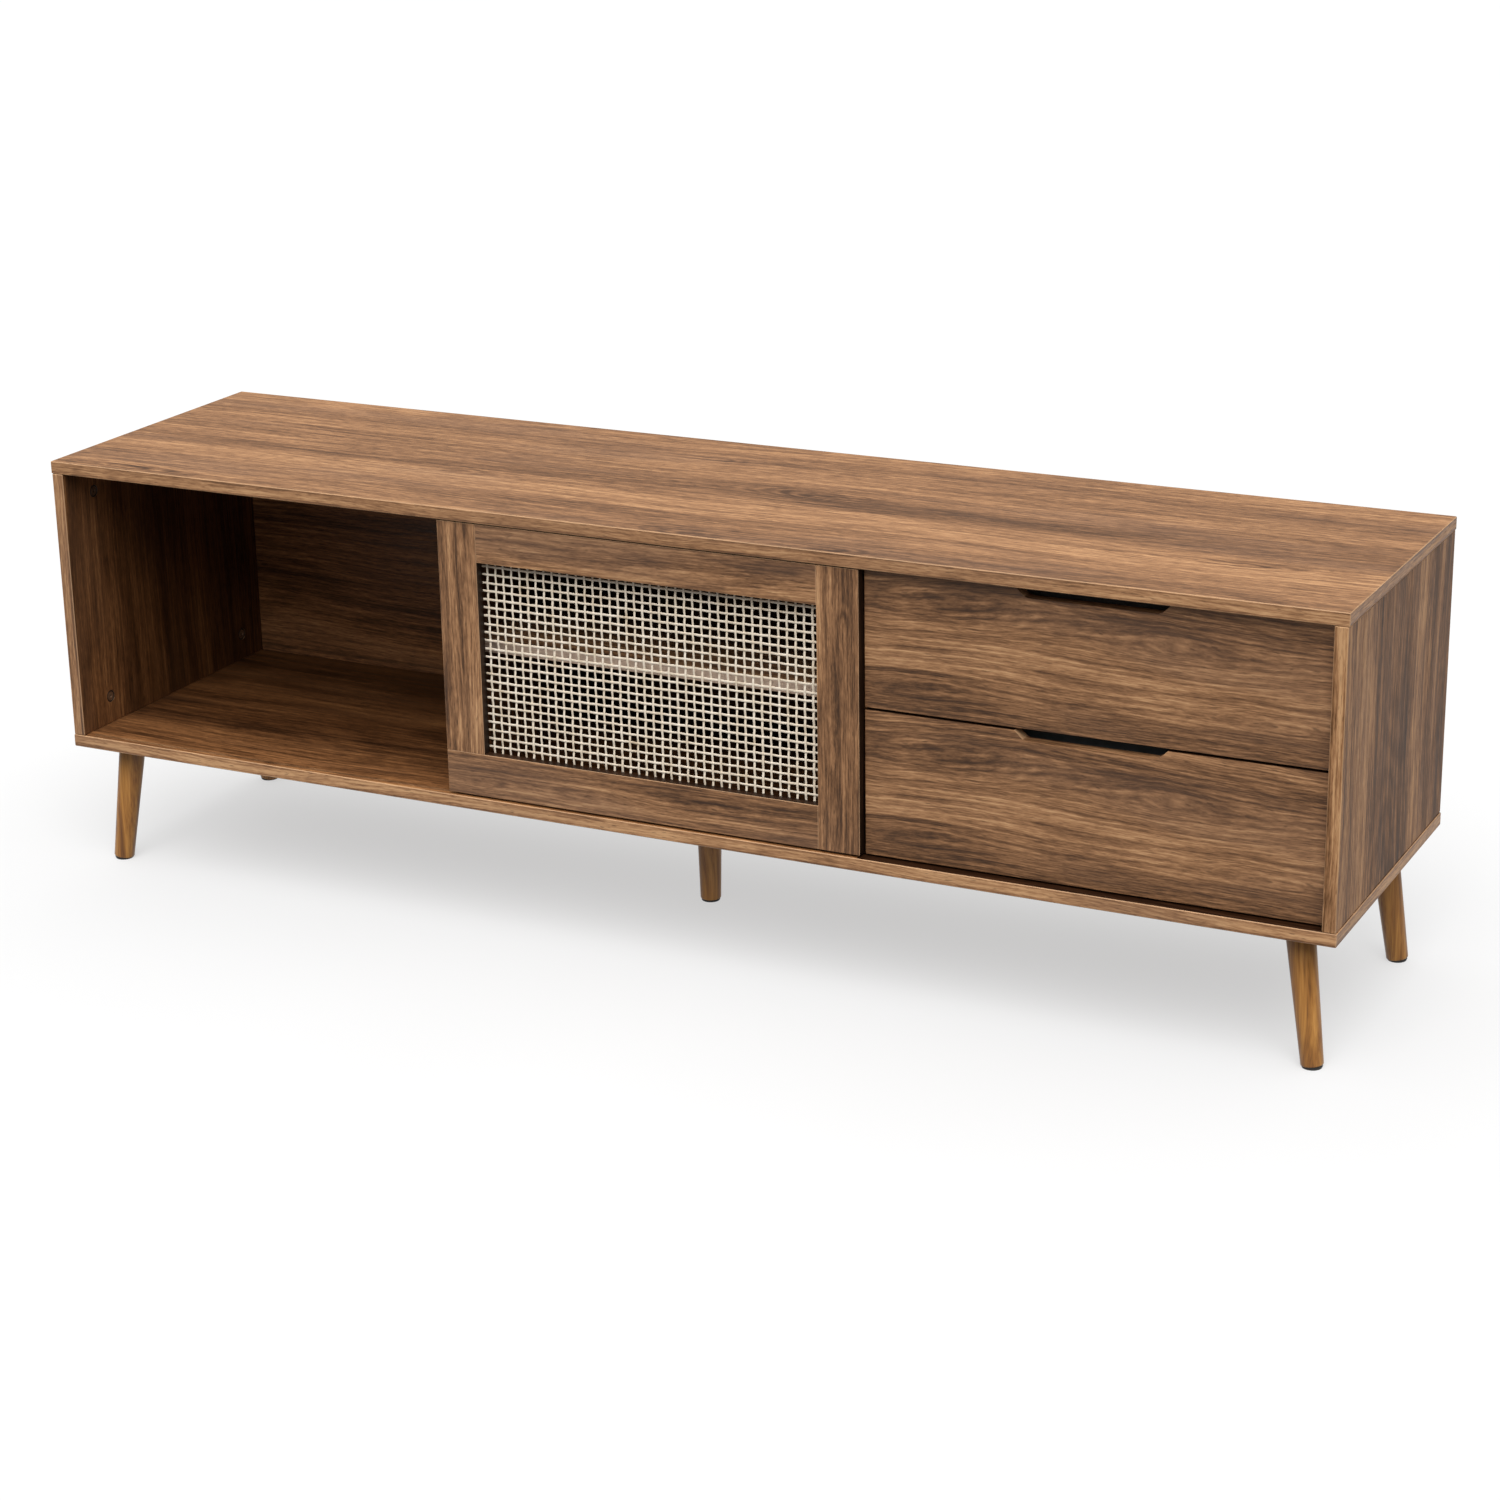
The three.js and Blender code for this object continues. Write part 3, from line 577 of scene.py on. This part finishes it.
def add_lathe(shape, profile, place, steps=64):
    """Turns (radius, height) points about place's Z axis, into a closed solid."""
    rings = [add_ring(shape, radius, height, place, steps) for radius, height in profile]
    if profile[0] == profile[-1]:
        bmesh.ops.delete(shape, geom=rings.pop(), context="VERTS")
        rings.append(rings[0])
    for low, high in zip(rings, rings[1:]):
        for i in range(steps):
            j = (i + 1) % steps
            corners = [low[i % len(low)], low[j % len(low)], high[j % len(high)], high[i % len(high)]]
            shape.faces.new(list(dict.fromkeys(corners)))


def pointing(direction, at):
    """A place whose Z axis points along the direction."""
    return Matrix.Translation(at) @ Vector(direction).to_track_quat("Z", "Y").to_matrix().to_4x4()


TURNED_SMOOTH_ANGLE = 40


def turned(name, profile, places, material, body, replaces=(), steps=40):
    """One piece made of a copy of the same turned shape at each place; its profile is in millimetres."""
    def build(shape):
        for place in places:
            add_lathe(shape, [(radius * MM, height * MM) for radius, height in profile], place, steps)
    new_piece(name, mesh_from(name, build, TURNED_SMOOTH_ANGLE), material, body, replaces)


# ---------------------------------------------------------------- legs
# how bright the wood of each leg is made; the brighter rear left and middle legs, which stand in shade,
# carry painted light
LEGS = {"front_left": 1.0, "front_right": 1.0, "rear_left": 1.25, "rear_right": 1.0, "middle": 1.35}
LEG_TOP_RADIUS = 16 * MM
LEG_FOOT_RADIUS = 12.4 * MM
LEG_TOP_EASE = 1.0 * MM
LEG_FOOT_ROUND = 1.6 * MM
LEG_FOOT_STEPS = 6
LEG_SEED_STEP = 0.37


def leg_axis(node):
    """The lower and upper end of a leg's axis, from the end rings of its CAD solid."""
    corners = [v.co for v in frame["nodes"][node].data.vertices]
    z_low = min(c.z for c in corners)
    z_high = max(c.z for c in corners)
    third = (z_high - z_low) / 3
    lower = [c for c in corners if c.z < z_low + third]
    upper = [c for c in corners if c.z > z_high - third]
    return [sum((Vector(c) for c in ring), Vector()) / len(ring) for ring in (lower, upper)]


def leg_profile(length):
    profile = [(0.0, 0.0)]
    for step in range(LEG_FOOT_STEPS + 1):
        angle = math.radians(90 * step / LEG_FOOT_STEPS)
        profile.append((LEG_FOOT_RADIUS - LEG_FOOT_ROUND * (1 - math.sin(angle)),
                        LEG_FOOT_ROUND * (1 - math.cos(angle))))
    return profile + [
        (LEG_TOP_RADIUS, length - LEG_TOP_EASE),
        (LEG_TOP_RADIUS - 0.4 * LEG_TOP_EASE, length - 0.2 * LEG_TOP_EASE),
        (LEG_TOP_RADIUS - LEG_TOP_EASE, length),
        (0.0, length),
    ]


def make_leg(place_name, seed, painted_light_gain):
    node = f"leg_{place_name}"
    low, high = leg_axis(node)
    up = (high - low).normalized()
    heights = [(Vector(v.co) - low).dot(up) for v in frame["nodes"][node].data.vertices]
    place = pointing(up, low + up * min(heights))
    profile = leg_profile(max(heights) - min(heights))
    name = f"{node}_turned"
    mesh = mesh_from(name, lambda shape: add_lathe(shape, profile, place), TURNED_SMOOTH_ANGLE)
    new_piece(name, mesh, leg_wood(f"leg_wood_{place_name}", seed, painted_light_gain), "carcase", [node])


# ---------------------------------------------------------------- cane
STRAND_WIDTH = 2.7 * MM
STRAND_THICKNESS = 0.95 * MM
STRAND_WIDTH_CHOICE = (0.92, 1.08)
STRAND_STRAY = 0.22 * MM         # how far a strand lies from its even place
STRAND_DRIFT = 0.16 * MM         # how far it wanders along its length
STRAND_DRIFT_RATE = 70
WEAVE_RISE = 0.52 * MM
PITCH_X = 10.45 * MM
PITCH_Z = 9.8 * MM
FIRST_FROM_LEFT = 13.5 * MM      # left edge of the cane to the first upright strand that shows
FIRST_FROM_TOP = 14.4 * MM
CANE_EDGE = 2 * MM               # cane's edge to the outermost strand
STRAND_END_GAP = 0.3 * MM
STEPS_PER_CROSSING = 4
CANE_SMOOTH_ANGLE = 60
RIBBON = [(-0.5, 0.0), (-0.42, 0.34), (-0.2, 0.5), (0.2, 0.5), (0.42, 0.34), (0.5, 0.0),
          (0.42, -0.34), (0.2, -0.5), (-0.2, -0.5), (-0.42, -0.34)]


def add_strand(shape, centre, sideways, outward, width):
    """Sweeps the flat ribbon section along a list of points."""
    rings = []
    for point in centre:
        section = [sideways * (a * width) + outward * (b * STRAND_THICKNESS) for a, b in RIBBON]
        rings.append([shape.verts.new(point + corner) for corner in section])
    count = len(RIBBON)
    for low, high in zip(rings, rings[1:]):
        for i in range(count):
            j = (i + 1) % count
            shape.faces.new((low[i], low[j], high[j], high[i]))
    shape.faces.new(rings[0])
    shape.faces.new(rings[-1])


def strand_places(dice, first, pitch, low, high):
    places = []
    while low <= first <= high:
        places.append(first + dice.uniform(-STRAND_STRAY, STRAND_STRAY))
        first += pitch
    return sorted(places)


def weave(shape):
    dice = random.Random(11)
    low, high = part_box("cane_panel")
    y = (low.y + high.y) / 2
    first_x = low.x + FIRST_FROM_LEFT - PITCH_X
    first_z = high.z - FIRST_FROM_TOP + PITCH_Z
    x_of = strand_places(dice, first_x, PITCH_X, low.x + CANE_EDGE, high.x - CANE_EDGE)
    z_of = strand_places(dice, first_z, -PITCH_Z, low.z + CANE_EDGE, high.z - CANE_EDGE)

    def run(own, crossings, pitch, start, end, upright):
        """All strands of one direction: over one crossing and under the next."""
        count = len(crossings) * STEPS_PER_CROSSING
        sideways = Vector((1, 0, 0)) if upright else Vector((0, 0, 1))
        for index, offset in enumerate(own):
            phase = dice.uniform(0, 6.28)
            points = []
            for step in range(count + 1):
                along = start + (end - start) * step / count
                # the two directions are half a wave apart
                wave = math.cos(math.pi * ((along - crossings[0]) / pitch + index))
                depth = y - WEAVE_RISE * (wave if upright else -wave)
                stray = offset + STRAND_DRIFT * math.sin(along * STRAND_DRIFT_RATE + phase)
                points.append(Vector((stray, depth, along) if upright else (along, depth, stray)))
            width = STRAND_WIDTH * dice.uniform(*STRAND_WIDTH_CHOICE)
            add_strand(shape, points, sideways, Vector((0, -1, 0)), width)

    run(x_of, z_of, PITCH_Z, low.z + STRAND_END_GAP, high.z - STRAND_END_GAP, True)
    run(z_of, x_of, PITCH_X, low.x + STRAND_END_GAP, high.x - STRAND_END_GAP, False)


# ---------------------------------------------------------------- wooden boards
DRAWER_BAY = (1.058, 1.590)      # stretch of the bottom panel under the drawers, in metres from its left end
EVERYWHERE = ("Z", -1.0, 1.0)    # a stretch that holds the whole of any board
TOP_EDGE_DEPTH = 3 * MM          # how much of a drawer front's upper edge gets painted shade, above its notch


def finish_node(node, material):
    piece = frame["nodes"][node]
    piece.data.materials.clear()
    piece.data.materials.append(material)


def veneer(node, along, seed, slot, **look):
    finish_node(node, walnut(f"walnut_{node}", along, seed, tuple(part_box(node)[0]), **look))


def carcase_board(node, along, seed, slot, inner, **look):
    # painted shade on the faces that look into the bays
    veneer(node, along, seed, slot, tint=INTERIOR_PAINTED_SHADE, inner=inner, lines=EDGE_BAND, **look)


def dress_carcase():
    carcase_board("top_panel", "X", 1.0, "walnut_top", ("Z", -1), ends="YZ", grey=0.2, contrast=0.66,
                  lift=0.04, eyes=TOP_EYES, stripes=TOP_STRIPES)
    # painted shade on the bottom panel's strip in front of and under the drawers
    under_drawers = ("Z", 1, "X", *DRAWER_BAY)
    carcase_board("bottom_panel", "X", 2.3, "walnut_top", ("Z", 1), ends="YZ", dark=[under_drawers])
    carcase_board("left_side_panel", "Z", 3.6, "walnut_side", ("X", 1))
    carcase_board("right_side_panel", "Z", 4.9, "walnut_side", ("X", -1), grey=0.15, contrast=1.25,
                  lift=-0.02, gloss=0.05)
    # painted shade over the whole of the dividers and the back panel
    veneer("left_divider", "Z", 5.4, "walnut_side", tint=INTERIOR_PAINTED_SHADE)
    veneer("right_divider", "Z", 6.1, "walnut_side", tint=INTERIOR_PAINTED_SHADE)
    veneer("back_panel", "X", 7.7, "walnut_inside", tint=INTERIOR_PAINTED_SHADE)
    veneer("shelf", "X", 8.2, "walnut_inside", edge_colour=SHELF_EDGE)


def dress_door():
    # painted shade on the stiles' right faces and on the bottom rail's upper face
    right_edges, upper_edges = [("X", 1, *EVERYWHERE)], [("Z", 1, *EVERYWHERE)]
    veneer("door_stile_left", "Z", 10.4, "walnut_door", dark=right_edges, eyes=STILE_LEFT_EYES,
           contrast=1.15, lift=0.04)
    veneer("door_stile_right", "Z", 11.2, "walnut_door", dark=right_edges, eyes=STILE_RIGHT_EYES,
           contrast=1.15, lift=0.08)
    veneer("door_rail_top", "X", 12.7, "walnut_door")
    veneer("door_rail_bottom", "X", 13.9, "walnut_door", dark=upper_edges, eyes=RAIL_EYES,
           contrast=1.15, lift=0.04)


def dress_drawer(drawer):
    """Both drawers carry the same print."""
    low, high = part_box(f"{drawer}_front")
    height = high.z - low.z
    # painted shade on the front's upper edge above the notch and on its left end
    gaps = [("Z", 1, "Z", height - TOP_EDGE_DEPTH, height), ("X", -1, *EVERYWHERE)]
    veneer(f"{drawer}_front", "X", 20.3, "walnut_front", grey=0.2, lift=0.02, eyes=DRAWER_EYES,
           stripes=DRAWER_STRIPES, dark=gaps)
    # painted shade over the whole of the drawer's sides and back
    veneer(f"{drawer}_side_left", "Y", 22.1, "drawer_board", tint=INTERIOR_PAINTED_SHADE)
    veneer(f"{drawer}_side_right", "Y", 22.7, "drawer_board", tint=INTERIOR_PAINTED_SHADE)
    veneer(f"{drawer}_back", "X", 23.4, "drawer_board", tint=INTERIOR_PAINTED_SHADE)


# ---------------------------------------------------------------- small hardware, in millimetres
SCREW_HEAD = [(0, 0), (3.5, 0), (3.5, 0.25), (3.1, 0.8), (2.4, 1.15), (1.4, 1.25), (1.25, 0.5), (0, 0.3)]
SLIDE_SCREW = [(0, 0), (3.4, 0), (3.2, 0.4), (2.0, 0.7), (1.3, 0.7), (1.1, 0.2), (0, 0.1)]
CAM_RIM = [(5.9, 0), (7.5, 0), (7.5, 11.5), (7.2, 11.9), (6.2, 11.9), (5.9, 11.6), (5.9, 0)]
CAM_CAP = [(0, 1.0), (5.7, 1.0), (5.7, 11.3), (5.4, 11.6), (2.1, 11.7), (1.9, 11.4), (1.6, 10.0), (0, 9.8)]
SHELF_PIN = [(0, 0), (1.7, 0), (2.3, 0.5), (2.5, 1.2), (2.5, 6.3), (2.1, 6.7), (2.1, 7.3), (2.5, 7.7),
             (2.5, 14.8), (2.2, 15.6), (1.6, 16.0), (0, 16.0)]
GROMMET = [(28.7, 0), (29.6, 0), (29.6, 7.95), (33.4, 7.95), (33.8, 8.3), (33.4, 8.9), (30.2, 9.3),
           (29.0, 9.1), (28.7, 8.7), (28.7, 0)]
GROMMET_AT = (170, 186.1, 215)          # centre of the cable hole, just behind the back panel's front face
GROMMET_STEPS = 72
SMALL_STEPS = 24
PLATE_THICKNESS = 2.5
PLATE_SCREW_SPREAD = 22.0               # plate's centre to each screw, both ways
RUNNER_SCREW_Y = (-145, -10, 125)
BACK_SCREW_X = (-768, -520, -260, 0, 260, 520, 768)
BACK_SCREW_Z = (178, 335, 492)
MIDDLE_ROW_X = (260, 768)               # the middle row has screws at the dividers and near the sides only


def plate_screws():
    places = []
    for node in frame["nodes"]:
        if node.startswith("leg_plate_"):
            # the plate is the thin upper part of its node, and the boss hangs under its middle
            low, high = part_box(node)
            middle = (low + high) / 2
            under = high.z - PLATE_THICKNESS * MM
            for x in (-PLATE_SCREW_SPREAD, PLATE_SCREW_SPREAD):
                for y in (-PLATE_SCREW_SPREAD, PLATE_SCREW_SPREAD):
                    places.append(pointing((0, 0, -1), (middle.x + x * MM, middle.y + y * MM, under)))
    return places


def back_screws():
    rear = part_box("back_panel")[1].y
    return [pointing((0, 1, 0), (x * MM, rear, z * MM)) for x in BACK_SCREW_X for z in BACK_SCREW_Z
            if z != BACK_SCREW_Z[1] or abs(x) in MIDDLE_ROW_X]


def runner_screws(drawer):
    places = []
    for node in frame["nodes"]:
        if node.startswith(f"{drawer}_runner_"):
            low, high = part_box(node)
            out = -1 if node.endswith("left") else 1
            face = low.x if out < 0 else high.x
            for y in RUNNER_SCREW_Y:
                places.append(pointing((out, 0, 0), (face, y * MM, (low.z + high.z) / 2)))
    return places


def make_screws(steel):
    turned("leg_plate_screws", SCREW_HEAD, plate_screws(), steel, "carcase", steps=SMALL_STEPS)
    turned("back_panel_screws", SCREW_HEAD, back_screws(), steel, "carcase", steps=SMALL_STEPS)
    for drawer in ("upper_drawer", "lower_drawer"):
        turned(f"{drawer}_slide_screws", SLIDE_SCREW, runner_screws(drawer), steel, drawer,
               steps=SMALL_STEPS)


def make_fittings(steel, black):
    cams = [node for node in frame["nodes"] if node.startswith("cam_lock_")]
    pins = [node for node in frame["nodes"] if node.startswith("shelf_pin_")]

    def along_x(node):
        low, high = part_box(node)
        return pointing((1, 0, 0), (low.x, (low.y + high.y) / 2, (low.z + high.z) / 2))

    brown = moulded_plastic("brown_cap", BROWN_CAP, 0.5)
    umber = moulded_plastic("umber_rim", UMBER_RIM, 0.5)
    turned("cam_lock_caps", CAM_CAP, [along_x(node) for node in cams], brown, "carcase", cams)
    turned("cam_lock_rims", CAM_RIM, [along_x(node) for node in cams], umber, "carcase")
    turned("shelf_pins_turned", SHELF_PIN, [along_x(node) for node in pins], steel, "carcase",
           pins, SMALL_STEPS)
    through_hole = pointing((0, 1, 0), [c * MM for c in GROMMET_AT])
    turned("cable_grommet", GROMMET, [through_hole], black, "carcase", steps=GROMMET_STEPS)


def dress_hardware():
    black = moulded_plastic("black_plastic", BLACK_PLASTIC, 0.55)
    slate = moulded_plastic("slate_plastic", SLATE_PLASTIC, 0.45)
    steel = metal("zinc_steel", ZINC, 0.38)
    plain = {"black_plastic": black, "slate_plastic": slate, "zinc_steel": steel, "drawer_base": hardboard()}
    for row in frame["record"]["subparts"]:
        if row["material_slot"] in plain:
            finish_node(row["node"], plain[row["material_slot"]])
    make_screws(steel)
    make_fittings(steel, black)


def make_floor():
    def build(shape):
        bmesh.ops.create_grid(shape, x_segments=1, y_segments=1, size=FLOOR_SIZE / 2)

    mesh = mesh_from("floor", build)
    floor = bpy.data.objects.new("floor", mesh)
    bpy.context.scene.collection.objects.link(floor)
    floor.data.materials.append(pale_floor())
    floor.visible_diffuse = False


make_camera()
make_sky()
make_key_light()
make_floor()
dress_carcase()
dress_door()
dress_drawer("upper_drawer")
dress_drawer("lower_drawer")
dress_hardware()
for leg_number, (leg_name, leg_painted_light_gain) in enumerate(LEGS.items()):
    make_leg(leg_name, LEG_SEED_STEP * leg_number, leg_painted_light_gain)
cane_mesh = mesh_from("cane_weave", weave, CANE_SMOOTH_ANGLE)
new_piece("cane_weave", cane_mesh, cane_fibre(), "door", ["cane_panel"])

bpy.context.scene.view_settings.view_transform = "Standard"
